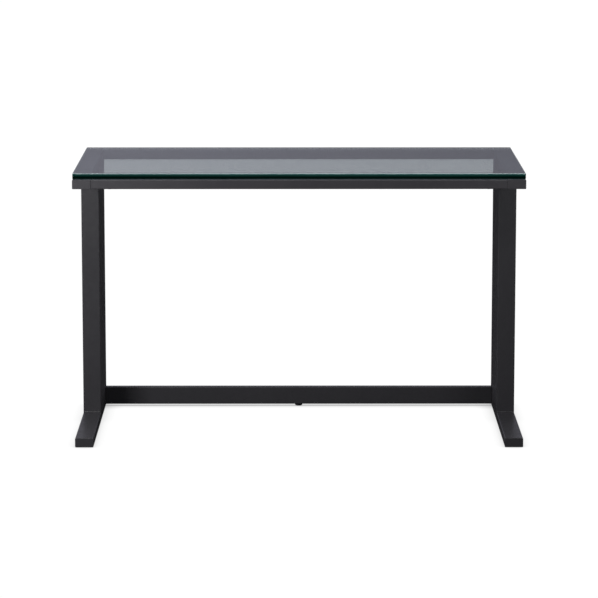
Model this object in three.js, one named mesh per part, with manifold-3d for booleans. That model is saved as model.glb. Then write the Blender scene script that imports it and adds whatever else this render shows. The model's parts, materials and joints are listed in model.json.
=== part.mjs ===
// A glass-topped desk on a steel base of rectangular tubes, in millimetres.
// X runs along the width, Y from the front to the back, and Z up. The origin is on the floor,
// under the middle of the desk.
//
// Two C-shaped side frames, each a top rail, a deep post and a foot welded together, are joined
// by a front rail, a back rail and a low stretcher. Each of these three slides over a threaded
// bar on either side frame, and screws hold it there. The glass lies loose on clear bumpers, and
// five screwed glides carry the desk.
import * as THREE from "three";
import { mergeVertices } from "three/addons/utils/BufferGeometryUtils.js";
import Module from "manifold-3d";

const wasm = await Module();
wasm.setup();

// Overall size of the desk, with its glass on.
const WIDTH = 1219.2;
const DEPTH = 609.6;
const HEIGHT = 750;

// Clearance left between two pieces that touch on the real desk.
const GAP = 0.3;

// Glass top: its margin inside the frame, its polished arris and its eased corner.
const GLASS_THICKNESS = 15;
const GLASS_INSET = 1;
const GLASS_ARRIS = 0.8;
const GLASS_CORNER = 3;

// Clear bumpers, as high as the space between the frame and the glass.
const BUMPER_HEIGHT = 2;
const BUMPER_RADIUS = 6.5;
const BUMPER_TOP_RADIUS = 5;
const BUMPER_SPACING = 400;

// Rectangular tube of the rails, the feet and the stretcher, and the plates that close its ends.
const TUBE_WIDTH = 50;
const TUBE_HEIGHT = 25;
const TUBE_WALL = 2;
const TUBE_CORNER = 2.5;
const CAP_THICKNESS = 2;

// Post of each side frame, a folded sheet box flush with the back of the frame.
const POST_DEPTH = 254;
const POST_WALL = 1.5;

// Stretcher between the posts, set in from their back faces and held off the floor.
const STRETCHER_SETBACK = 15;
const STRETCHER_CLEARANCE = 6;

// Threaded joining bars, welded to the side frames, that the rails and the stretcher slide over.
const BAR_WIDTH = 40;
const BAR_THICKNESS = 8;
const BAR_LENGTH = 70;

// M6 screws through one tube wall into a joining bar, with low round heads and hexagon sockets.
const SCREW_RADIUS = 3;
const SCREW_LENGTH = 11;
const SCREW_HEAD_RADIUS = 6;
const SCREW_HEAD_HEIGHT = 2.2;
const SCREW_SOCKET_RADIUS = 2.3;
const SCREW_SOCKET_DEPTH = 1.4;
const SCREW_SOCKET_SIDES = 6;
const SCREW_HOLE_RADIUS = 3.4;
const THREAD_HOLE_RADIUS = 3.2;
const SCREW_OFFSETS = [20, 50];

// M8 glides: a moulded pad on a threaded stem, and the threaded boss that it turns in.
const PAD_RADIUS = 10.5;
const PAD_FLAT_RADIUS = 7;
const PAD_HEIGHT = 5.6;
const PAD_SHOULDER = 3.4;
const PAD_RIM = 0.5;
const PAD_SOCKET_RADIUS = 4.3;
const PAD_SOCKET_FLOOR = 2.6;
const PAD_HOLE_RADIUS = 12;
const STEM_RADIUS = 4;
const STEM_LENGTH = 20;
const STEM_CHAMFER = 0.8;
const STEM_HOLE_RADIUS = 4.6;
const BOSS_RADIUS = 7;
const BOSS_HEIGHT = 11.7;
const BOSS_BORE_RADIUS = 4.25;
const GLIDE_FROM_END = 40;
const FOOT_CLEARANCE = 0.4;

// Number of straight steps in a quarter-round corner, and around a whole circle.
const CORNER_STEPS = 4;
const CIRCLE_STEPS = 16;

// Vertices closer than this are one vertex of a solid.
const MERGE_DISTANCE = 1e-4;

// Levels and faces that follow from the sizes above.
const GLASS_BOTTOM = HEIGHT - GLASS_THICKNESS;
const RAIL_TOP = GLASS_BOTTOM - BUMPER_HEIGHT;
const RAIL_BOTTOM = RAIL_TOP - TUBE_HEIGHT;
const FOOT_TOP = FOOT_CLEARANCE + TUBE_HEIGHT;
const SIDE_X = (WIDTH - TUBE_WIDTH) / 2;
const RAIL_Y = (DEPTH - TUBE_WIDTH) / 2;
const INNER_X = WIDTH / 2 - TUBE_WIDTH;
const CROSS_LENGTH = 2 * (INNER_X - GAP);
const SIDE_LENGTH = DEPTH - 2 * (CAP_THICKNESS + GAP);
const POST_Y = (DEPTH - POST_DEPTH) / 2;
const STRETCHER_Y = DEPTH / 2 - STRETCHER_SETBACK - TUBE_HEIGHT / 2;
const STRETCHER_Z = STRETCHER_CLEARANCE + TUBE_WIDTH / 2;

const sides = { left: -1, right: 1 };
const ends = { front: -1, back: 1 };

const finishes = {
  powder_coat: { color: 0x3d3c40, roughness: 0.5, metalness: 0.3 },
  glass: { color: 0xb9cbc8, roughness: 0.05, metalness: 0 },
  clear_rubber: { color: 0xdfe4e4, roughness: 0.25, metalness: 0 },
  black_plastic: { color: 0x141416, roughness: 0.6, metalness: 0 },
  black_steel: { color: 0x232327, roughness: 0.4, metalness: 0.8 },
  zinc_steel: { color: 0x9a9ca0, roughness: 0.35, metalness: 0.9 },
};

const desk = new THREE.Group();

// Adds one piece to the desk, with a material of its own.
function addPiece(name, geometry, finish, position) {
  const mesh = new THREE.Mesh(geometry, new THREE.MeshStandardMaterial(finishes[finish]));
  mesh.name = name;
  mesh.position.set(...position);
  desk.add(mesh);
}

// A closed three.js geometry as a manifold solid.
function toSolid(geometry) {
  const bare = geometry.clone();
  bare.deleteAttribute("normal");
  bare.deleteAttribute("uv");
  const merged = mergeVertices(bare, MERGE_DISTANCE);
  const vertProperties = new Float32Array(merged.attributes.position.array);
  const triVerts = new Uint32Array(merged.index.array);
  return new wasm.Manifold(new wasm.Mesh({ numProp: 3, vertProperties, triVerts }));
}

// A manifold solid as a three.js geometry with flat shading.
function toGeometry(solid) {
  const { vertProperties, triVerts } = solid.getMesh();
  const indexed = new THREE.BufferGeometry();
  indexed.setAttribute("position", new THREE.BufferAttribute(vertProperties, 3));
  indexed.setIndex(new THREE.BufferAttribute(triVerts, 1));
  const geometry = indexed.toNonIndexed();
  geometry.computeVertexNormals();
  return geometry;
}

// The geometry with each of the tools cut out of it.
function cut(geometry, tools) {
  let solid = toSolid(geometry);
  for (const tool of tools) {
    solid = solid.subtract(toSolid(tool));
  }
  return toGeometry(solid);
}

// Rectangle with quarter-round corners, centred on the origin.
function roundedRectangle(width, height, radius) {
  const x = width / 2 - radius;
  const y = height / 2 - radius;
  const shape = new THREE.Shape();
  shape.moveTo(x + radius, -y);
  shape.absarc(x, y, radius, 0, Math.PI / 2, false);
  shape.absarc(-x, y, radius, Math.PI / 2, Math.PI, false);
  shape.absarc(-x, -y, radius, Math.PI, 1.5 * Math.PI, false);
  shape.absarc(x, -y, radius, 1.5 * Math.PI, 2 * Math.PI, false);
  return shape;
}

// Straight prism of a shape, centred on the origin, with its length along Z.
// three.js divides each arc of a shape into twice its curveSegments.
function prism(shape, length) {
  const options = { depth: length, bevelEnabled: false, curveSegments: CORNER_STEPS / 2 };
  const geometry = new THREE.ExtrudeGeometry(shape, options);
  return geometry.translate(0, 0, -length / 2);
}

// Open rectangular tube along Z.
function tube(width, height, wall, length) {
  const shape = roundedRectangle(width, height, TUBE_CORNER);
  const innerCorner = TUBE_CORNER - wall;
  shape.holes.push(roundedRectangle(width - 2 * wall, height - 2 * wall, innerCorner));
  return prism(shape, length);
}

// Turns a geometry made along Z so that it lies along X, with its own X along Y.
function layAlongX(geometry) {
  const basis = new THREE.Matrix4();
  basis.makeBasis(
    new THREE.Vector3(0, 1, 0),
    new THREE.Vector3(0, 0, 1),
    new THREE.Vector3(1, 0, 0),
  );
  return geometry.applyMatrix4(basis);
}

// Turns a geometry made along Z so that it lies along Y, pointing to the front.
function layAlongY(geometry) {
  return geometry.rotateX(Math.PI / 2);
}

// Solid of revolution about Z from a profile of [radius, height] pairs.
function lathe(profile) {
  const points = profile.map(([radius, height]) => new THREE.Vector2(radius, height));
  return new THREE.LatheGeometry(points, CIRCLE_STEPS).rotateX(Math.PI / 2);
}

// Straight round pin along Z between two heights, used to drill holes.
function drill(radius, bottom, top, x = 0, y = 0) {
  const geometry = lathe([
    [0, bottom],
    [radius, bottom],
    [radius, top],
    [0, top],
  ]);
  return geometry.translate(x, y, 0);
}

// Glass sheet with a polished arris round both faces.
function glassTop() {
  const shape = roundedRectangle(
    WIDTH - 2 * GLASS_INSET,
    DEPTH - 2 * GLASS_INSET,
    GLASS_CORNER,
  );
  const geometry = new THREE.ExtrudeGeometry(shape, {
    depth: GLASS_THICKNESS - 2 * GLASS_ARRIS,
    bevelThickness: GLASS_ARRIS,
    bevelSize: GLASS_ARRIS,
    bevelOffset: -GLASS_ARRIS,
    bevelSegments: 1,
    curveSegments: CORNER_STEPS / 2,
  });
  return geometry.translate(0, 0, GLASS_ARRIS);
}

// Clear bumper, standing on Z = 0, a little narrower at its top.
function bumper() {
  const top = BUMPER_HEIGHT - 2 * GAP;
  return lathe([
    [0, 0],
    [BUMPER_RADIUS, 0],
    [BUMPER_RADIUS, top / 2],
    [BUMPER_TOP_RADIUS, top],
    [0, top],
  ]);
}

// Front or back rail, along X, with the screw holes in its bottom wall.
function crossRail() {
  const rail = layAlongX(tube(TUBE_WIDTH, TUBE_HEIGHT, TUBE_WALL, CROSS_LENGTH));
  const holes = [];
  for (const side of Object.values(sides)) {
    for (const offset of SCREW_OFFSETS) {
      const x = side * (INNER_X - offset);
      holes.push(drill(SCREW_HOLE_RADIUS, -TUBE_HEIGHT, 0, x));
    }
  }
  return cut(rail, holes);
}

// Stretcher, along X, with screw holes in its back wall and a glide hole in its bottom wall.
function stretcher() {
  const bar = layAlongX(tube(TUBE_HEIGHT, TUBE_WIDTH, TUBE_WALL, CROSS_LENGTH));
  const holes = [drill(STEM_HOLE_RADIUS, -TUBE_WIDTH, 0)];
  for (const side of Object.values(sides)) {
    for (const offset of SCREW_OFFSETS) {
      const hole = layAlongY(drill(SCREW_HOLE_RADIUS, -TUBE_WIDTH, 0));
      holes.push(hole.translate(side * (INNER_X - offset), 0, 0));
    }
  }
  return cut(bar, holes);
}

// Foot, along Y, with a wide hole in its bottom wall for each of its two glides.
function foot() {
  const bar = layAlongY(tube(TUBE_WIDTH, TUBE_HEIGHT, TUBE_WALL, SIDE_LENGTH));
  const holes = Object.values(ends).map((end) =>
    drill(PAD_HOLE_RADIUS, -TUBE_HEIGHT, 0, 0, end * (DEPTH / 2 - GLIDE_FROM_END)),
  );
  return cut(bar, holes);
}

// Plate that closes the end of a tube along Y.
function endCap() {
  const shape = roundedRectangle(TUBE_WIDTH, TUBE_HEIGHT, TUBE_CORNER);
  return layAlongY(prism(shape, CAP_THICKNESS));
}

// Joining bar, along X and lying flat, with its two threaded holes. Its welded end is at X = 0
// and it runs towards +X.
function joiningBar() {
  const block = new THREE.BoxGeometry(BAR_LENGTH, BAR_WIDTH, BAR_THICKNESS);
  block.translate(BAR_LENGTH / 2, 0, 0);
  const holes = SCREW_OFFSETS.map((offset) =>
    drill(THREAD_HOLE_RADIUS, -BAR_THICKNESS, BAR_THICKNESS, offset - GAP),
  );
  return cut(block, holes);
}

// Screw that points up Z, with the underside of its head at Z = 0.
function screw() {
  const body = lathe([
    [0, -SCREW_HEAD_HEIGHT],
    [SCREW_HEAD_RADIUS, -SCREW_HEAD_HEIGHT],
    [SCREW_HEAD_RADIUS, 0],
    [SCREW_RADIUS, 0],
    [SCREW_RADIUS, SCREW_LENGTH],
    [0, SCREW_LENGTH],
  ]);
  const socket = new THREE.CylinderGeometry(
    SCREW_SOCKET_RADIUS,
    SCREW_SOCKET_RADIUS,
    2 * SCREW_SOCKET_DEPTH,
    SCREW_SOCKET_SIDES,
  );
  socket.rotateX(Math.PI / 2).translate(0, 0, -SCREW_HEAD_HEIGHT);
  return cut(body, [socket]);
}

// Glide pad, standing on Z = 0, with a round shoulder and a socket for the stem.
function glidePad() {
  const reach = PAD_RADIUS - PAD_FLAT_RADIUS;
  const profile = [[0, 0]];
  for (let step = 0; step <= CORNER_STEPS; step += 1) {
    const angle = (step / CORNER_STEPS) * (Math.PI / 2);
    const radius = PAD_FLAT_RADIUS + reach * Math.sin(angle);
    profile.push([radius, PAD_SHOULDER * (1 - Math.cos(angle))]);
  }
  profile.push(
    [PAD_RADIUS, PAD_HEIGHT - PAD_RIM],
    [PAD_RADIUS - PAD_RIM, PAD_HEIGHT],
    [PAD_SOCKET_RADIUS, PAD_HEIGHT],
    [PAD_SOCKET_RADIUS, PAD_SOCKET_FLOOR],
    [0, PAD_SOCKET_FLOOR],
  );
  return lathe(profile);
}

// Threaded stem of a glide, standing on Z = 0.
function glideStem() {
  return lathe([
    [0, 0],
    [STEM_RADIUS, 0],
    [STEM_RADIUS, STEM_LENGTH - STEM_CHAMFER],
    [STEM_RADIUS - STEM_CHAMFER, STEM_LENGTH],
    [0, STEM_LENGTH],
  ]);
}

// Threaded boss that a glide turns in, standing on Z = 0.
function glideBoss() {
  return lathe([
    [BOSS_BORE_RADIUS, 0],
    [BOSS_RADIUS, 0],
    [BOSS_RADIUS, BOSS_HEIGHT],
    [BOSS_BORE_RADIUS, BOSS_HEIGHT],
    [BOSS_BORE_RADIUS, 0],
  ]);
}

// Glide under (x, y), with its boss standing at the height bossZ.
function addGlide(place, x, y, bossZ) {
  addPiece(`glide_pad_${place}`, glidePad(), "black_plastic", [x, y, 0]);
  addPiece(`glide_stem_${place}`, glideStem(), "zinc_steel", [x, y, PAD_SOCKET_FLOOR + GAP]);
  addPiece(`glide_boss_${place}`, glideBoss(), "zinc_steel", [x, y, bossZ]);
}

// One C-shaped side frame: rail, post and foot, with their end caps and the foot's glides.
function addSideFrame(name, side) {
  const x = side * SIDE_X;
  const railZ = (RAIL_TOP + RAIL_BOTTOM) / 2;
  const footZ = FOOT_TOP - TUBE_HEIGHT / 2;
  const rail = layAlongY(tube(TUBE_WIDTH, TUBE_HEIGHT, TUBE_WALL, SIDE_LENGTH));
  addPiece(`side_rail_${name}`, rail, "powder_coat", [x, 0, railZ]);

  const postBottom = FOOT_TOP + GAP;
  const postTop = RAIL_BOTTOM - GAP;
  const post = tube(TUBE_WIDTH, POST_DEPTH, POST_WALL, postTop - postBottom);
  addPiece(`post_${name}`, post, "powder_coat", [x, POST_Y, (postTop + postBottom) / 2]);
  addPiece(`foot_${name}`, foot(), "powder_coat", [x, 0, footZ]);

  for (const [endName, end] of Object.entries(ends)) {
    const capY = (end * (DEPTH - CAP_THICKNESS)) / 2;
    const place = `${endName}_${name}`;
    addPiece(`rail_cap_${place}`, endCap(), "powder_coat", [x, capY, railZ]);
    addPiece(`foot_cap_${place}`, endCap(), "powder_coat", [x, capY, footZ]);
    const bossZ = FOOT_TOP - TUBE_WALL - GAP - BOSS_HEIGHT;
    addGlide(place, x, end * (DEPTH / 2 - GLIDE_FROM_END), bossZ);
  }
}

// Front or back rail with the joining bars inside its ends and their screws.
function addCrossRail(name, end) {
  const y = end * RAIL_Y;
  addPiece(`${name}_rail`, crossRail(), "powder_coat", [0, y, RAIL_BOTTOM + TUBE_HEIGHT / 2]);
  const barZ = RAIL_BOTTOM + TUBE_WALL + GAP + BAR_THICKNESS / 2;
  for (const [sideName, side] of Object.entries(sides)) {
    const bar = joiningBar().rotateZ(side > 0 ? Math.PI : 0);
    const place = `${name}_${sideName}`;
    addPiece(`joining_bar_${place}`, bar, "zinc_steel", [side * (INNER_X - GAP), y, barZ]);
    SCREW_OFFSETS.forEach((offset, index) => {
      const position = [side * (INNER_X - offset), y, RAIL_BOTTOM - GAP];
      addPiece(`rail_screw_${place}_${index + 1}`, screw(), "black_steel", position);
    });
  }
}

// Stretcher with the joining bars inside its ends, their screws and the middle glide.
function addStretcher() {
  addPiece("stretcher", stretcher(), "powder_coat", [0, STRETCHER_Y, STRETCHER_Z]);
  const backFace = STRETCHER_Y + TUBE_HEIGHT / 2;
  const barY = backFace - TUBE_WALL - GAP - BAR_THICKNESS / 2;
  for (const [sideName, side] of Object.entries(sides)) {
    const bar = joiningBar().rotateX(Math.PI / 2).rotateY(side > 0 ? Math.PI : 0);
    const position = [side * (INNER_X - GAP), barY, STRETCHER_Z];
    addPiece(`joining_bar_stretcher_${sideName}`, bar, "zinc_steel", position);
    SCREW_OFFSETS.forEach((offset, index) => {
      const place = [side * (INNER_X - offset), backFace + GAP, STRETCHER_Z];
      const name = `stretcher_screw_${sideName}_${index + 1}`;
      addPiece(name, layAlongY(screw()), "black_steel", place);
    });
  }
  addGlide("middle", 0, STRETCHER_Y, STRETCHER_CLEARANCE + TUBE_WALL + GAP);
}

// Glass top and the bumpers it lies on: one on each corner and two on each cross rail.
function addTop() {
  addPiece("glass_top", glassTop(), "glass", [0, 0, GLASS_BOTTOM]);
  for (const [endName, end] of Object.entries(ends)) {
    for (const [sideName, side] of Object.entries(sides)) {
      const y = end * RAIL_Y;
      const z = RAIL_TOP + GAP;
      const place = `${endName}_${sideName}`;
      addPiece(`corner_bumper_${place}`, bumper(), "clear_rubber", [side * SIDE_X, y, z]);
      const railPosition = [(side * BUMPER_SPACING) / 2, y, z];
      addPiece(`rail_bumper_${place}`, bumper(), "clear_rubber", railPosition);
    }
  }
}

for (const [name, side] of Object.entries(sides)) {
  addSideFrame(name, side);
}
for (const [name, end] of Object.entries(ends)) {
  addCrossRail(name, end);
}
addStretcher();
addTop();

export default desk;
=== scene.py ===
import json
import math

import bmesh
import bpy
from mathutils import Matrix, Vector


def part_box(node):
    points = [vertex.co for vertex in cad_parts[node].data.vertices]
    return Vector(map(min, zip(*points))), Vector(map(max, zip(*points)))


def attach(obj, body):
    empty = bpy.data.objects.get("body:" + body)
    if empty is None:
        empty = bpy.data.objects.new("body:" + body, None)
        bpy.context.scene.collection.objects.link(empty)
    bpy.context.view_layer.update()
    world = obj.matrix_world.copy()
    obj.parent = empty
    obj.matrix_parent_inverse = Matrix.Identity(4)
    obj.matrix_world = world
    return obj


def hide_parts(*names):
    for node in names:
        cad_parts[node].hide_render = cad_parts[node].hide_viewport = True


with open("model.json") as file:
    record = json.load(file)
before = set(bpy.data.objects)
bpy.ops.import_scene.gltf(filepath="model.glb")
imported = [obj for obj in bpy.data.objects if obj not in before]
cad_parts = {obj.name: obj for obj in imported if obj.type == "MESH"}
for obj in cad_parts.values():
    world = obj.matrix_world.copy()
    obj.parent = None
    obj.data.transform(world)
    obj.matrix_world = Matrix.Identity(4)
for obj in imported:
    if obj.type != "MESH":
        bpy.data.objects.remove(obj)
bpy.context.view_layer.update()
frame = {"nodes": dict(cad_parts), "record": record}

MM = 0.001
BODY_OF = {node: body for body, nodes in frame["record"]["behaviour"]["bodies"].items() for node in nodes}
SIDES = ("left", "right")
ENDS = ("front", "back")
CORNERS = [f"{end}_{side}" for end in ENDS for side in SIDES]
GLIDES = CORNERS + ["middle"]

# Steel sections: outside corner radius, wall, and how finely a corner is divided.
TUBE_CORNER = 2.5 * MM
TUBE_WALL = 2.0 * MM
POST_WALL = 1.5 * MM
CORNER_STEPS = 6
END_CHAMFER = 0.6 * MM
CAP_FILLET = 0.9 * MM
FILLET_STEPS = 4

# Clearance that the CAD model leaves between two welded pieces, which the fine model closes.
WELD_GAP = 0.3 * MM
WELD_LEG = 2.2 * MM

# Glass sheet: polished arris and eased corners.
GLASS_ARRIS = 0.8 * MM
GLASS_CORNER = 3.0 * MM

# Holes in the tubes, each with its edge broken by a small chamfer.
SCREW_HOLE = 3.4 * MM
STEM_HOLE = 4.6 * MM
PAD_HOLE = 12.0 * MM
HOLE_EDGE = 0.4 * MM

# Threads.
SCREW_PITCH = 1.0 * MM
GLIDE_PITCH = 1.25 * MM
THREAD_DEPTH_RATIO = 0.61
THREAD_ROWS = 6
ROUND_SEGMENTS = 48


# ---------------------------------------------------------------- meshes


def rounded_rectangle(width, height, radius):
    """Points of a rectangle with round corners about the origin, anticlockwise."""
    points = []
    for turn, (sx, sy) in enumerate(((1, 1), (-1, 1), (-1, -1), (1, -1))):
        centre = Vector((sx * (width / 2 - radius), sy * (height / 2 - radius)))
        for step in range(CORNER_STEPS + 1):
            angle = math.pi / 2 * (turn + step / CORNER_STEPS)
            points.append(centre + radius * Vector((math.cos(angle), math.sin(angle))))
    return points


def add_ring(bm, points, z):
    return [bm.verts.new((p[0], p[1], z)) for p in points]


def join_rings(bm, lower, upper, material=0):
    """A band of faces between two rings of the same number of points, facing away from their middle."""
    count = len(lower)
    for i in range(count):
        j = (i + 1) % count
        face = bm.faces.new((lower[i], lower[j], upper[j], upper[i]))
        face.material_index = material


def close_ring(bm, ring, facing_up):
    return bm.faces.new(ring if facing_up else ring[::-1])


def block(width, height, radius, stations):
    """A solid along Z with a rounded rectangular section, which each station (z, inset) makes smaller."""
    bm = bmesh.new()
    rings = [
        add_ring(bm, rounded_rectangle(width - 2 * inset, height - 2 * inset, radius - inset), z)
        for z, inset in stations
    ]
    for lower, upper in zip(rings, rings[1:]):
        join_rings(bm, lower, upper)
    close_ring(bm, rings[0], False)
    close_ring(bm, rings[-1], True)
    return bm


def tube(width, height, wall, length, chamfer=0.0):
    """An open rectangular tube along Z, centred on the origin, with chamfered outer edges at its ends."""
    bm = bmesh.new()
    half = length / 2
    inner_radius = max(TUBE_CORNER - wall, 0.4 * MM)
    outer = [(-half, chamfer), (-half + chamfer, 0), (half - chamfer, 0), (half, chamfer)]
    if not chamfer:
        outer = [(-half, 0), (half, 0)]
    rings = [
        add_ring(bm, rounded_rectangle(width - 2 * inset, height - 2 * inset, TUBE_CORNER - inset), z)
        for z, inset in outer
    ]
    inside = rounded_rectangle(width - 2 * wall, height - 2 * wall, inner_radius)
    rings += [add_ring(bm, inside, half), add_ring(bm, inside, -half)]
    for ring, following in zip(rings, rings[1:] + rings[:1]):
        join_rings(bm, ring, following)
    return bm


def revolve(stations, segments=ROUND_SEGMENTS, closed=False):
    """A solid of revolution about Z. A station is (radius, z), where the radius may be a function of the
    angle and 0 is a point on the axis. A closed profile joins its last station to its first."""
    bm = bmesh.new()
    angles = [math.tau * i / segments for i in range(segments)]
    rings = []
    for radius, z in stations:
        if radius == 0:
            rings.append([bm.verts.new((0, 0, z))])
            continue
        ring = []
        for angle in angles:
            r = radius(angle) if callable(radius) else radius
            ring.append(bm.verts.new((r * math.cos(angle), r * math.sin(angle), z)))
        rings.append(ring)
    pairs = list(zip(rings, rings[1:]))
    if closed:
        pairs.append((rings[-1], rings[0]))
    for lower, upper in pairs:
        if len(lower) == 1:
            for i in range(segments):
                bm.faces.new((lower[0], upper[(i + 1) % segments], upper[i]))
        elif len(upper) == 1:
            for i in range(segments):
                bm.faces.new((lower[i], lower[(i + 1) % segments], upper[0]))
        else:
            join_rings(bm, lower, upper)
    return bm


def thread(radius, pitch, bottom, top, outward=True):
    """Stations of a helical thread between two heights. An internal thread has its crests inwards."""
    depth = THREAD_DEPTH_RATIO * pitch
    rows = max(2, round((top - bottom) / pitch * THREAD_ROWS))
    stations = []
    for row in range(rows + 1):
        z = bottom + (top - bottom) * row / rows
        fade = min(1.0, row / THREAD_ROWS, (rows - row) / THREAD_ROWS)

        def profile(angle, z=z, fade=fade):
            phase = (z / pitch - angle / math.tau) % 1.0
            crest = 1 - abs(2 * phase - 1)
            return radius - depth * fade * (1 - crest) if outward else radius - depth * fade * crest

        stations.append((profile, z))
    return stations


def hexagon(apothem):
    """Radius of a hexagon as a function of the angle."""
    return lambda angle: apothem / math.cos(angle % (math.pi / 3) - math.pi / 6)


def turned(bm, matrix):
    bmesh.ops.transform(bm, matrix=matrix, verts=bm.verts)
    return bm


# A shape made along Z is laid along X with its own X along Y, or along Y with its own X kept.
ALONG_X = Matrix(((0, 0, 1, 0), (1, 0, 0, 0), (0, 1, 0, 0), (0, 0, 0, 1)))
ALONG_Y = Matrix.Rotation(math.pi / 2, 4, "X")


def subtract(obj, cutters):
    """Cuts each of the cutter meshes out of the object."""
    for bm in cutters:
        mesh = bpy.data.meshes.new("cutter")
        bm.to_mesh(mesh)
        bm.free()
        cutter = bpy.data.objects.new("cutter", mesh)
        bpy.context.scene.collection.objects.link(cutter)
        modifier = obj.modifiers.new("hole", "BOOLEAN")
        modifier.operation = "DIFFERENCE"
        modifier.solver = "EXACT"
        modifier.object = cutter
        bpy.context.view_layer.update()
        cut = bpy.data.meshes.new_from_object(obj.evaluated_get(bpy.context.evaluated_depsgraph_get()))
        obj.modifiers.clear()
        obj.data = cut
        bpy.data.objects.remove(cutter)


SHARP_ANGLE = math.radians(32)


def shade(obj):
    """Smooth shading that keeps flat faces flat and edges over SHARP_ANGLE sharp."""
    bm = bmesh.new()
    bm.from_mesh(obj.data)
    bmesh.ops.recalc_face_normals(bm, faces=bm.faces)
    for face in bm.faces:
        face.smooth = True
    for edge in bm.edges:
        edge.smooth = not edge.is_manifold or edge.calc_face_angle(0) < SHARP_ANGLE
    bm.to_mesh(obj.data)
    bm.free()
    normals = obj.modifiers.new("normals", "WEIGHTED_NORMAL")
    normals.keep_sharp = True
    normals.weight = 100


def make(name, bm, materials, place=(0, 0, 0), cutters=()):
    """An object of that mesh, moved to its place in the desk's frame, with holes cut and its shading set."""
    turned(bm, Matrix.Translation(place))
    mesh = bpy.data.meshes.new(name)
    bm.to_mesh(mesh)
    bm.free()
    obj = bpy.data.objects.new(name, mesh)
    bpy.context.scene.collection.objects.link(obj)
    if cutters:
        subtract(obj, cutters)
    for material in materials:
        obj.data.materials.append(material)
    shade(obj)
    return obj


def stand_for(obj, node):
    """The piece takes the place of that CAD node."""
    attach(obj, BODY_OF[node])
    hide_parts(node)


def middle(node):
    low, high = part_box(node)
    return (low + high) / 2


def size(node):
    low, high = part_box(node)
    return high - low


def hole_cutter(radius, depth, axis_matrix, place):
    """A drill with a small cone that breaks the hole's outer edge. Its own Z points out of the wall."""
    profile = [
        (0, -depth),
        (radius, -depth),
        (radius, -HOLE_EDGE),
        (radius + 2 * HOLE_EDGE, HOLE_EDGE),
        (0, HOLE_EDGE),
    ]
    return turned(turned(revolve(profile), axis_matrix), Matrix.Translation(place))


# ---------------------------------------------------------------- materials


class Nodes:
    """A node tree, and short ways to add and link nodes in it."""

    def __init__(self, owner):
        owner.use_nodes = True
        self.nodes = owner.node_tree.nodes
        self.links = owner.node_tree.links

    def add(self, kind, inputs=(), **settings):
        node = self.nodes.new(kind)
        for name, value in settings.items():
            setattr(node, name, value)
        for name, value in dict(inputs).items():
            node.inputs[name].default_value = value
        return node

    def link(self, source, target):
        self.links.new(source, target)

    def axes(self, place):
        """The X, Y and Z of that vector, each as a socket."""
        split = self.add("ShaderNodeSeparateXYZ")
        self.link(place, split.inputs["Vector"])
        return split.outputs

    def ramp(self, factor, stops):
        """A colour ramp with (position, colour) stops."""
        node = self.add("ShaderNodeValToRGB")
        elements = node.color_ramp.elements
        while len(elements) < len(stops):
            elements.new(0.5)
        for element, (position, colour) in zip(elements, stops):
            element.position = position
            element.color = (*colour, 1)
        self.link(factor, node.inputs["Fac"])
        return node.outputs["Color"]

    def spread(self, factor, low, high, source=(0.3, 0.7)):
        """The factor, taken from its usual span to the span from low to high."""
        values = {"From Min": source[0], "From Max": source[1], "To Min": low, "To Max": high}
        node = self.add("ShaderNodeMapRange", values)
        self.link(factor, node.inputs["Value"])
        return node.outputs["Result"]

    def mix_colours(self, factor, first, second, blend="MIX"):
        """A mix of two colours, each given as a socket or as a value. So is the factor."""
        node = self.add("ShaderNodeMix", data_type="RGBA", blend_type=blend)
        for name, source in (("Factor", factor), ("A", first), ("B", second)):
            if isinstance(source, bpy.types.NodeSocket):
                self.link(source, node.inputs[name])
            else:
                node.inputs[name].default_value = source if name == "Factor" else (*source, 1)
        return node.outputs["Result"]

    def for_rays(self, kind, special, usual, but_not=None):
        """The special shader for rays of that kind, unless of the other kind too, and the usual one else."""
        path = self.add("ShaderNodeLightPath")
        mix = self.add("ShaderNodeMixShader")
        if but_not is None:
            self.link(path.outputs[kind], mix.inputs["Fac"])
        else:
            chosen = self.add("ShaderNodeMath", operation="SUBTRACT", use_clamp=True)
            self.link(path.outputs[kind], chosen.inputs[0])
            self.link(path.outputs[but_not], chosen.inputs[1])
            self.link(chosen.outputs["Value"], mix.inputs["Fac"])
        self.link(usual, mix.inputs[1])
        self.link(special, mix.inputs[2])
        return mix.outputs["Shader"]


class Material(Nodes):
    """A node material with its Principled shader."""

    def __init__(self, name):
        self.data = bpy.data.materials.new(name)
        super().__init__(self.data)
        self.shader = self.nodes["Principled BSDF"]
        self.output = self.nodes["Material Output"]

    def set(self, **values):
        for name, value in values.items():
            self.shader.inputs[name.replace("_", " ")].default_value = value

    def place(self, scale=(1, 1, 1)):
        """Coordinates in the desk's frame, stretched by scale."""
        coordinates = self.add("ShaderNodeTexCoord")
        mapping = self.add("ShaderNodeMapping", {"Scale": scale})
        self.link(coordinates.outputs["Object"], mapping.inputs["Vector"])
        return mapping.outputs["Vector"]

    def noise(self, place, scale, detail=2.0, roughness=0.5):
        values = {"Scale": scale, "Detail": detail, "Roughness": roughness}
        node = self.add("ShaderNodeTexNoise", values)
        self.link(place, node.inputs["Vector"])
        return node.outputs["Fac"]

    def bump(self, height, distance, strength=1.0, normal=None):
        node = self.add("ShaderNodeBump", {"Distance": distance, "Strength": strength})
        self.link(height, node.inputs["Height"])
        if normal is not None:
            self.link(normal, node.inputs["Normal"])
        self.link(node.outputs["Normal"], self.shader.inputs["Normal"])
        return node.outputs["Normal"]


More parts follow.
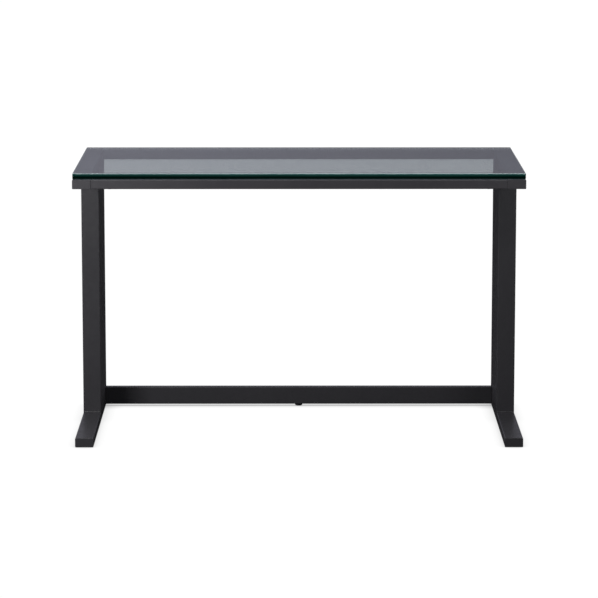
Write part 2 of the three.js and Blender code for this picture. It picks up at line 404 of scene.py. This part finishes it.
def powder_coat():
    """Dark graphite powder coat: satin, with the faint orange peel and speckle of a baked finish."""
    m = Material("powder_coat_graphite")
    m.set(Metallic=0.0, IOR=1.5)
    place = m.place()
    cloud = m.noise(place, 9.0, 3.0)
    speckle = m.noise(place, 1900.0, 2.0)
    base = m.ramp(cloud, [(0.3, (0.0460, 0.0445, 0.0490)), (0.7, (0.0505, 0.0490, 0.0535))])
    fleck = m.ramp(speckle, [(0.35, (0.90, 0.90, 0.90)), (0.65, (1.10, 1.10, 1.12))])
    m.link(m.mix_colours(1.0, base, fleck, "MULTIPLY"), m.shader.inputs["Base Color"])
    m.link(m.spread(m.noise(place, 60.0, 3.0), 0.30, 0.38), m.shader.inputs["Roughness"])
    peel = m.bump(m.noise(place, 420.0, 2.0), 0.00003, 0.6)
    m.bump(speckle, 0.00001, 0.5, peel)
    return m.data


def clear_for_light(m, tint):
    """Light from lamps and from dull or satin surfaces passes straight through, so that what lies under
    the glass is lit. The glass keeps its own reflections."""
    clear = m.add("ShaderNodeBsdfTransparent", {"Color": (*tint, 1)}).outputs["BSDF"]
    surface = m.for_rays("Is Shadow Ray", clear, m.shader.outputs["BSDF"])
    surface = m.for_rays("Is Diffuse Ray", clear, surface)
    m.link(m.for_rays("Is Glossy Ray", clear, surface, "Is Singular Ray"), m.output.inputs["Surface"])


def sheet_glass():
    """The body of the sheet: clear float glass with the slight grey-green of its thickness."""
    m = Material("float_glass")
    m.set(Base_Color=(0.745, 0.785, 0.795, 1), Roughness=0.0, IOR=1.52, Transmission_Weight=1.0)
    clear_for_light(m, (0.80, 0.84, 0.84))
    return m.data


def glass_edge(low, high):
    """The polished edge, where light has crossed the whole sheet: deep teal, with painted light and shade by
    height, a lighter band at the top and darkest low down.
    """
    m = Material("float_glass_edge")
    m.set(Roughness=0.08, IOR=1.52, Specular_IOR_Level=0.02)
    wave = m.noise(m.place((1, 1, 0)), 3.5, 2.0)
    shift = m.spread(wave, -0.0006, 0.0006)
    height = m.add("ShaderNodeMath", operation="ADD")
    m.link(m.axes(m.place())["Z"], height.inputs[0])
    m.link(shift, height.inputs[1])
    level = m.spread(height.outputs["Value"], 0.0, 1.0, (low, high))
    # Painted light and shade: this ramp by height makes the edge lightest near its top, near black below,
    # and a little lighter again at the very bottom; the noise wobbles the bands slightly.
    colour = m.ramp(
        level,
        [
            (0.0, (0.008, 0.026, 0.026)),
            (0.12, (0.0002, 0.0030, 0.0024)),
            (0.40, (0.0001, 0.0042, 0.0030)),
            (0.65, (0.0020, 0.0196, 0.0161)),
            (1.0, (0.024, 0.078, 0.074)),
        ],
    )
    m.link(colour, m.shader.inputs["Base Color"])
    return m.data


def glass_arris():
    """The narrow polished bevel, given a pale base colour as a painted highlight line, and a painted dark
    shade where it is seen through the sheet.
    """
    m = Material("float_glass_arris")
    m.set(Roughness=0.15, IOR=1.52)
    painted_highlight_noise = m.noise(m.place(), 90.0, 2.0)
    # Painted highlight: a pale, slightly varying colour stands in for the light caught by the bevel.
    colour = m.ramp(painted_highlight_noise, [(0.3, (0.72, 0.90, 0.91)), (0.7, (0.80, 0.96, 0.97))])
    path = m.add("ShaderNodeLightPath")
    # Painted shade: for rays through the sheet the bevel takes this near black teal instead of the painted
    # highlight.
    inside = (0.004, 0.017, 0.015)
    m.link(m.mix_colours(path.outputs["Is Transmission Ray"], colour, inside), m.shader.inputs["Base Color"])
    return m.data


def clear_rubber():
    """Clear soft bumper, slightly hazy."""
    m = Material("clear_bumper")
    m.set(IOR=1.49, Transmission_Weight=0.9, Roughness=0.12)
    haze = m.noise(m.place(), 700.0, 3.0)
    colour = m.ramp(haze, [(0.3, (0.84, 0.87, 0.87)), (0.7, (0.93, 0.95, 0.95))])
    m.link(colour, m.shader.inputs["Base Color"])
    return m.data


def moulded_plastic():
    """Black moulded nylon with a fine spark-eroded grain."""
    m = Material("black_nylon")
    m.set(IOR=1.52)
    place = m.place()
    grain = m.noise(place, 2600.0, 3.0)
    colour = m.ramp(m.noise(place, 180.0), [(0.3, (0.006, 0.006, 0.007)), (0.7, (0.010, 0.010, 0.011))])
    m.link(colour, m.shader.inputs["Base Color"])
    m.link(m.spread(grain, 0.42, 0.6), m.shader.inputs["Roughness"])
    m.bump(grain, 0.00002, 0.5)
    return m.data


def plated_steel(name, dark, light, rough):
    """Turned steel under a thin finish: fine turning marks round it and small changes of shade."""
    m = Material(name)
    m.set(Metallic=1.0)
    place = m.place()
    mottle = m.noise(place, 320.0, 4.0)
    turning = m.noise(m.place((1, 1, 14)), 900.0, 2.0)
    m.link(m.ramp(mottle, [(0.3, dark), (0.7, light)]), m.shader.inputs["Base Color"])
    m.link(m.spread(mottle, rough[0], rough[1]), m.shader.inputs["Roughness"])
    m.bump(turning, 0.00001, 0.5)
    return m.data


POWDER = powder_coat()
SHEET = sheet_glass()
EDGE = glass_edge(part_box("glass_top")[0].z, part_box("glass_top")[1].z)
ARRIS = glass_arris()
RUBBER = clear_rubber()
PLASTIC = moulded_plastic()
BLACK = plated_steel("black_oxide_steel", (0.018, 0.018, 0.020), (0.035, 0.034, 0.036), (0.34, 0.46))
ZINC = plated_steel("zinc_plated_steel", (0.40, 0.41, 0.43), (0.56, 0.56, 0.57), (0.28, 0.40))


# ---------------------------------------------------------------- the glass and its bumpers


def make_glass():
    low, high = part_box("glass_top")
    extent = high - low
    stations = [
        (0, GLASS_ARRIS),
        (GLASS_ARRIS, 0),
        (extent.z - GLASS_ARRIS, 0),
        (extent.z, GLASS_ARRIS),
    ]
    bm = block(extent.x, extent.y, GLASS_CORNER, stations)
    for face in bm.faces:
        heights = [v.co.z for v in face.verts]
        flat = max(heights) - min(heights) < GLASS_ARRIS / 2
        upper_bevel = max(heights) > extent.z - GLASS_ARRIS / 2
        face.material_index = 0 if flat else 2 if upper_bevel else 1
    centre = middle("glass_top")
    sheet = make("glass_sheet", bm, (SHEET, EDGE, ARRIS), (centre.x, centre.y, low.z))
    stand_for(sheet, "glass_top")


def make_bumper(node):
    low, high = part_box(node)
    centre = middle(node)
    radius = (high.x - low.x) / 2
    height = high.z - low.z
    steps = 10
    profile = [(0, 0), (radius * 0.96, 0), (radius, height * 0.08)]
    for step in range(1, steps + 1):
        angle = math.pi / 2 * step / steps
        profile.append((radius * (0.45 + 0.55 * math.cos(angle)), height * (0.08 + 0.92 * math.sin(angle))))
    profile.append((0, height))
    dome = make(f"{node}_dome", revolve(profile), (RUBBER,), (centre.x, centre.y, low.z))
    stand_for(dome, node)


# ---------------------------------------------------------------- the side frames


def screw_places(node):
    """Middles of the screws that go into that rail, by the names of their CAD nodes."""
    prefix = {
        "front_rail": "rail_screw_front",
        "back_rail": "rail_screw_back",
        "stretcher": "stretcher_screw",
    }[node]
    return [middle(screw) for screw in sorted(frame["nodes"]) if screw.startswith(prefix)]


def make_tube_along_y(node, cutters=()):
    """A side rail or a foot, drawn out by WELD_GAP to meet the plates that close its ends."""
    extent = size(node)
    bm = tube(extent.x, extent.z, TUBE_WALL, extent.y + 2 * WELD_GAP)
    piece = make(f"{node}_tube", turned(bm, ALONG_Y), (POWDER,), middle(node), cutters)
    stand_for(piece, node)


def foot_cutters(side):
    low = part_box(f"foot_{side}")[0]
    cutters = []
    for end in ENDS:
        pad = middle(f"glide_pad_{end}_{side}")
        down = Matrix.Rotation(math.pi, 4, "X")
        cutters.append(hole_cutter(PAD_HOLE, 2 * TUBE_WALL, down, (pad.x, pad.y, low.z)))
    return cutters


def make_cap(node):
    """The plate welded into the end of a tube and ground flush, with a softened outer edge."""
    low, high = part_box(node)
    extent = high - low
    outwards = -1 if low.y < 0 else 1
    stations = [(0, 0)]
    for step in range(FILLET_STEPS + 1):
        angle = math.pi / 2 * step / FILLET_STEPS
        rise = CAP_FILLET * math.sin(angle)
        stations.append((extent.y - CAP_FILLET + rise, CAP_FILLET * (1 - math.cos(angle))))
    bm = block(extent.x, extent.z, TUBE_CORNER, stations)
    turned(bm, ALONG_Y if outwards < 0 else Matrix.Rotation(-math.pi / 2, 4, "X"))
    centre = middle(node)
    inner_face = high.y if outwards < 0 else low.y
    piece = make(f"{node}_plate", bm, (POWDER,), (centre.x, inner_face, centre.z))
    stand_for(piece, node)


def make_post(side):
    node = f"post_{side}"
    extent = size(node)
    bm = tube(extent.x, extent.y, POST_WALL, extent.z + 2 * WELD_GAP)
    piece = make(f"{node}_box", bm, (POWDER,), middle(node))
    stand_for(piece, node)


def make_weld(name, section, length, matrix):
    """A weld run: its closed section, drawn out along Z from the origin and laid in place by the matrix."""
    bm = bmesh.new()
    rings = [[bm.verts.new((x, y, z)) for x, y in section] for z in (0, length)]
    join_rings(bm, rings[0], rings[1])
    close_ring(bm, rings[0], False)
    close_ring(bm, rings[1], True)
    piece = make(name, turned(bm, matrix), (POWDER,))
    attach(piece, "base")


def concave_fillet(leg):
    """Section of a fillet weld in the corner at the origin, between the +X and +Y directions."""
    points = [(-WELD_GAP, -WELD_GAP), (leg, -WELD_GAP)]
    for step in range(FILLET_STEPS + 1):
        angle = math.pi / 2 * step / FILLET_STEPS
        points.append((leg - leg * math.sin(angle), leg - leg * math.cos(angle)))
    points.append((-WELD_GAP, leg))
    return points


def flush_fill():
    """Section of a weld that fills the round corner of a tube and is ground flush with its side, at X = 0.
    The tube's face is at Y = 0 and its body below that."""
    points = [(0, WELD_GAP), (-TUBE_CORNER, WELD_GAP), (-TUBE_CORNER, 0)]
    for step in range(1, CORNER_STEPS + 1):
        angle = math.pi / 2 * step / CORNER_STEPS
        points.append((TUBE_CORNER * (math.sin(angle) - 1), TUBE_CORNER * (math.cos(angle) - 1)))
    return points[::-1]


def make_post_welds(side):
    """The fillet across the front of a post and the flush runs along its sides, at both its ends."""
    low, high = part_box(f"post_{side}")
    foot_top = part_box(f"foot_{side}")[1].z
    rail_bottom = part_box(f"side_rail_{side}")[0].z
    faces = (("left", low.x, -1), ("right", high.x, 1))
    width = high.x - low.x - 2 * TUBE_CORNER
    run = high.y - low.y - 2 * TUBE_CORNER
    for part, level, up in (("foot", foot_top, 1), ("rail", rail_bottom, -1)):
        lay = Matrix(((0, 0, 1, low.x + TUBE_CORNER), (-1, 0, 0, low.y), (0, up, 0, level), (0, 0, 0, 1)))
        make_weld(f"weld_{part}_{side}_front", concave_fillet(WELD_LEG), width, lay)
        for face, x, out in faces:
            lay = Matrix(((out, 0, 0, x), (0, 0, 1, low.y + TUBE_CORNER), (0, up, 0, level), (0, 0, 0, 1)))
            edge = "outer" if face == side else "inner"
            make_weld(f"weld_{part}_{side}_{edge}", flush_fill(), run, lay)


# ---------------------------------------------------------------- rails, stretcher and their fixings


def make_cross_tube(node):
    """A rail or the stretcher, with chamfered ends and the holes for its screws and glide."""
    low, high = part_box(node)
    extent = high - low
    centre = middle(node)
    upright = extent.z > extent.y
    bm = tube(extent.y, extent.z, TUBE_WALL, extent.x, END_CHAMFER)
    down = Matrix.Rotation(math.pi, 4, "X")
    back = Matrix.Rotation(-math.pi / 2, 4, "X")
    cutters = []
    for place in screw_places(node):
        if upright:
            cutters.append(hole_cutter(SCREW_HOLE, 2 * TUBE_WALL, back, (place.x, high.y, place.z)))
        else:
            cutters.append(hole_cutter(SCREW_HOLE, 2 * TUBE_WALL, down, (place.x, place.y, low.z)))
    if upright:
        cutters.append(hole_cutter(STEM_HOLE, 2 * TUBE_WALL, down, (0, centre.y, low.z)))
    piece = make(f"{node}_tube", turned(bm, ALONG_X), (POWDER,), centre, cutters)
    stand_for(piece, node)


HEAD_RADIUS = 6.0 * MM
HEAD_HEIGHT = 2.2 * MM
HEAD_EDGE = 0.5 * MM
SHANK_RADIUS = 3.0 * MM
SOCKET_APOTHEM = 2.0 * MM
SOCKET_DEPTH = 1.4 * MM


def make_screw(node):
    """Low-headed M6 screw with a hexagon socket. It is made pointing up Z, with its head below Z = 0."""
    extent = size(node)
    upright = extent.z > extent.y
    length = max(extent.y, extent.z) - HEAD_HEIGHT
    socket = hexagon(SOCKET_APOTHEM)
    profile = [
        (0, -HEAD_HEIGHT + SOCKET_DEPTH + 0.4 * MM),
        (socket, -HEAD_HEIGHT + SOCKET_DEPTH),
        (socket, -HEAD_HEIGHT + 0.2 * MM),
        (SOCKET_APOTHEM * 1.3, -HEAD_HEIGHT),
        (HEAD_RADIUS - HEAD_EDGE, -HEAD_HEIGHT),
        (HEAD_RADIUS - 0.3 * HEAD_EDGE, -HEAD_HEIGHT + 0.3 * HEAD_EDGE),
        (HEAD_RADIUS, -HEAD_HEIGHT + HEAD_EDGE),
        (HEAD_RADIUS, 0),
        (SHANK_RADIUS, 0),
    ]
    profile += thread(SHANK_RADIUS, SCREW_PITCH, 0.3 * MM, length - 0.6 * MM)
    profile += [(SHANK_RADIUS - 0.6 * MM, length), (0, length)]
    bm = revolve(profile)
    low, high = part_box(node)
    centre = middle(node)
    if upright:
        place = (centre.x, centre.y, low.z + HEAD_HEIGHT)
    else:
        turned(bm, ALONG_Y)
        place = (centre.x, high.y - HEAD_HEIGHT, centre.z)
    stand_for(make(f"{node}_m6", bm, (BLACK,), place), node)


# ---------------------------------------------------------------- glides

STEM_CHAMFER = 0.8 * MM
PAD_SOCKET = 4.3 * MM
PAD_SOCKET_FLOOR = 2.6 * MM


def make_pad(node):
    """Moulded pad with a flat underside, a round shoulder, a parting line and a socket for the stem."""
    low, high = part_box(node)
    centre = middle(node)
    radius = (high.x - low.x) / 2
    height = high.z - low.z
    flat = 0.66 * radius
    shoulder = 0.6 * height
    rim = 0.5 * MM
    line = 0.12 * MM
    steps = 12
    profile = [(0, 0)]
    for step in range(steps + 1):
        angle = math.pi / 2 * step / steps
        profile.append((flat + (radius - line - flat) * math.sin(angle), shoulder * (1 - math.cos(angle))))
    profile += [
        (radius, shoulder + line),
        (radius, shoulder + 3 * line),
        (radius - line, shoulder + 4 * line),
        (radius - line, height - rim),
        (radius - line - 0.3 * rim, height - 0.3 * rim),
        (radius - line - rim, height),
        (PAD_SOCKET + 0.2 * MM, height),
        (PAD_SOCKET, height - 0.2 * MM),
        (PAD_SOCKET, PAD_SOCKET_FLOOR),
        (0, PAD_SOCKET_FLOOR),
    ]
    pad = make(f"{node}_moulding", revolve(profile), (PLASTIC,), (centre.x, centre.y, low.z))
    stand_for(pad, node)


def make_stem(node):
    """M8 threaded stem, plain where the pad holds it."""
    low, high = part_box(node)
    centre = middle(node)
    radius = (high.x - low.x) / 2
    length = high.z - low.z
    grip = 2.2 * MM
    profile = [(0, 0), (radius - 0.2 * MM, 0), (radius, 0.2 * MM), (radius, grip)]
    profile += thread(radius, GLIDE_PITCH, grip + 0.1 * MM, length - STEM_CHAMFER)
    profile += [(radius - STEM_CHAMFER, length), (0, length)]
    stem = make(f"{node}_m8", revolve(profile), (ZINC,), (centre.x, centre.y, low.z))
    stand_for(stem, node)


def make_boss(node):
    """Threaded bush welded into the tube, with softened rims."""
    low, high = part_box(node)
    centre = middle(node)
    outer = (high.x - low.x) / 2
    bore = 4.25 * MM
    depth = 0.35 * MM
    edge = 0.5 * MM
    height = high.z - low.z
    profile = [
        (bore + depth, 0),
        (outer - edge, 0),
        (outer, edge),
        (outer, height - edge),
        (outer - edge, height),
        (bore + depth, height),
    ]
    rows = round(height / GLIDE_PITCH * THREAD_ROWS)
    for row in range(rows - 1, 0, -1):
        z = height * row / rows

        def groove(angle, z=z):
            phase = (z / GLIDE_PITCH - angle / math.tau) % 1.0
            return bore + depth * (1 - abs(2 * phase - 1))

        profile.append((groove, z))
    boss = make(f"{node}_bush", revolve(profile, closed=True), (ZINC,), (centre.x, centre.y, low.z))
    stand_for(boss, node)


# ---------------------------------------------------------------- the desk

make_glass()
for corner in CORNERS:
    make_bumper(f"corner_bumper_{corner}")
    make_bumper(f"rail_bumper_{corner}")
    make_cap(f"rail_cap_{corner}")
    make_cap(f"foot_cap_{corner}")
for side in SIDES:
    make_tube_along_y(f"side_rail_{side}")
    make_tube_along_y(f"foot_{side}", foot_cutters(side))
    make_post(side)
    make_post_welds(side)
for node in ("front_rail", "back_rail", "stretcher"):
    make_cross_tube(node)
for node in sorted(frame["nodes"]):
    if "_screw_" in node:
        make_screw(node)
    if node.startswith("joining_bar"):
        for slot in frame["nodes"][node].material_slots:
            slot.material = ZINC
for glide in GLIDES:
    make_pad(f"glide_pad_{glide}")
    make_stem(f"glide_stem_{glide}")
    make_boss(f"glide_boss_{glide}")


# ---------------------------------------------------------------- camera, floor and light

CAMERA_AT = (-0.0203, -8.5922, 1.7892)
CAMERA_DOWN = 9.453
CAMERA_TO_RIGHT = 0.1375
CAMERA_LENS = 187.4
FLOOR_RADIUS = 90.0
FLOOR_DROP = 0.0003
SHADE_REACH = 0.055
SHADE = ((0.0, 0.35), (0.3, 0.60), (0.5, 0.78), (0.7, 0.92), (0.92, 1.0))
BEHIND_GLASS = (0.64, 0.685, 0.69)

# Light of the room, by the direction it comes from.
WALL_FRONT = (0.08, 0.08, 0.09)
WALL_BACK_LEFT = (0.275, 0.275, 0.327)
WALL_BACK_RIGHT = (0.140, 0.140, 0.165)
HORIZON_BACK = (0.70, 0.70, 0.76)
CEILING = (0.15, 0.15, 0.16)

# Where one part of the room turns into the next, along the direction's own axes.
LEFT_TO_RIGHT = (-0.20, 0.20)
FRONT_TO_BACK = (-0.25, 0.25)
HORIZON_TO_WALL = (0.07, 0.10)
WALL_TO_CEILING = (0.25, 0.55)

# Soft lamps: where each stands, where it points, its width and height, and its power in watts.
LAMPS = {
    "key_left": ((-1.17, -1.34, 1.09), (-0.35, 0, 0.45), 0.5, 0.5, 18),
    "fill_right": ((1.0, -1.0, 1.0), (0.35, 0, 0.45), 0.5, 0.5, 3.3),
    "strip_front": ((0, -0.42, 1.1), (0, -0.42, 0), 1.3, 0.08, 1.5),
    "rim_left": ((-2.0, 0.18, 0.5), (-0.6, 0.18, 0.4), 0.9, 0.9, 6),
    "rim_right": ((2.0, 0.6, 0.5), (0.6, 0.18, 0.4), 0.9, 0.9, 6),
}

# The glass has lamps of its own. They stand lower than its top, so it shows no mirror image of them.
EDGE_LAMPS = {
    "front": (0, -3.0, 0.66),
    "back": (0, 3.0, 0.66),
    "left": (-3.3, 0, 0.66),
    "right": (3.3, 0, 0.66),
}
EDGE_TARGET = (0, 0, 0.74)
EDGE_LAMP_SIZE = (1.2, 0.12)
EDGE_LAMP_POWER = 75


def make_camera():
    data = bpy.data.cameras.new("camera")
    data.lens = CAMERA_LENS
    data.sensor_width = 36.0
    data.clip_end = 500.0
    camera = bpy.data.objects.new("camera", data)
    camera.location = CAMERA_AT
    camera.rotation_euler = (math.radians(90 - CAMERA_DOWN), 0, math.radians(-CAMERA_TO_RIGHT))
    bpy.context.scene.collection.objects.link(camera)
    bpy.context.scene.camera = camera


def floor_material():
    """A plain white floor. Seen directly it is paper white, with a faint shade close to the desk. Seen
    through the glass it is greyer, like a studio wall, and it lights the desk as a dark grey floor does."""
    m = Material("studio_floor")
    m.nodes.remove(m.shader)
    openness = m.add("ShaderNodeAmbientOcclusion", {"Distance": SHADE_REACH}, samples=32)
    paper = m.add("ShaderNodeEmission", {"Strength": 1.02})
    m.link(m.ramp(openness.outputs["AO"], [(at, (v, v, v)) for at, v in SHADE]), paper.inputs["Color"])
    behind = m.add("ShaderNodeEmission", {"Color": (*BEHIND_GLASS, 1)})
    grey = m.add("ShaderNodeBsdfDiffuse", {"Color": (0.15, 0.15, 0.15, 1)})
    dark = m.add("ShaderNodeBsdfDiffuse", {"Color": (0.05, 0.05, 0.05, 1)})
    surface = m.for_rays("Is Diffuse Ray", grey.outputs["BSDF"], paper.outputs["Emission"])
    surface = m.for_rays("Is Glossy Ray", dark.outputs["BSDF"], surface)
    surface = m.for_rays("Is Transmission Ray", behind.outputs["Emission"], surface)
    m.link(surface, m.output.inputs["Surface"])
    return m.data


def make_floor():
    bm = bmesh.new()
    bmesh.ops.create_circle(bm, cap_ends=True, radius=FLOOR_RADIUS, segments=96)
    mesh = bpy.data.meshes.new("floor")
    bm.to_mesh(mesh)
    bm.free()
    floor = bpy.data.objects.new("floor", mesh)
    floor.location.z = -FLOOR_DROP
    mesh.materials.append(floor_material())
    bpy.context.scene.collection.objects.link(floor)


def make_world():
    """A soft studio room, brighter at the back, and white where the camera looks past the floor."""
    world = bpy.data.worlds.new("studio")
    bpy.context.scene.world = world
    w = Nodes(world)
    w.nodes.clear()
    direction = w.axes(w.add("ShaderNodeTexCoord").outputs["Generated"])
    back_wall = w.mix_colours(w.spread(direction["X"], 0, 1, LEFT_TO_RIGHT), WALL_BACK_LEFT, WALL_BACK_RIGHT)
    back = w.mix_colours(w.spread(direction["Z"], 0, 1, HORIZON_TO_WALL), HORIZON_BACK, back_wall)
    walls = w.mix_colours(w.spread(direction["Y"], 0, 1, FRONT_TO_BACK), WALL_FRONT, back)
    room = w.add("ShaderNodeBackground")
    upwards = w.spread(direction["Z"], 0, 1, WALL_TO_CEILING)
    w.link(w.mix_colours(upwards, walls, CEILING), room.inputs["Color"])
    white = w.add("ShaderNodeBackground", {"Color": (1, 1, 1, 1)})
    output = w.add("ShaderNodeOutputWorld")
    surface = w.for_rays("Is Camera Ray", white.outputs["Background"], room.outputs["Background"])
    w.link(surface, output.inputs["Surface"])


def glass_linking(name, state):
    """A collection for light linking, by which lamps light the glass alone or everything else."""
    linking = bpy.data.collections.new(name)
    linking.objects.link(bpy.data.objects["glass_sheet"])
    linking.collection_objects[0].light_linking.link_state = state
    return linking


def make_softbox(name, place, target, width, height, power, linking):
    """A soft lamp out of sight, for the objects of one light linking collection."""
    data = bpy.data.lights.new(name, "AREA")
    data.shape = "RECTANGLE"
    data.size = width
    data.size_y = height
    data.energy = power
    lamp = bpy.data.objects.new(name, data)
    lamp.location = place
    lamp.rotation_euler = (Vector(target) - Vector(place)).to_track_quat("-Z", "Y").to_euler()
    lamp.visible_camera = False
    lamp.visible_transmission = False
    lamp.light_linking.receiver_collection = linking
    bpy.context.scene.collection.objects.link(lamp)


make_camera()
make_floor()
make_world()
all_but_glass = glass_linking("all_but_glass", "EXCLUDE")
only_glass = glass_linking("only_glass", "INCLUDE")
for name, lamp in LAMPS.items():
    make_softbox(name, *lamp, all_but_glass)
for name, place in EDGE_LAMPS.items():
    make_softbox("edge_" + name, place, EDGE_TARGET, *EDGE_LAMP_SIZE, EDGE_LAMP_POWER, only_glass)
bpy.context.scene.view_settings.view_transform = "Standard"
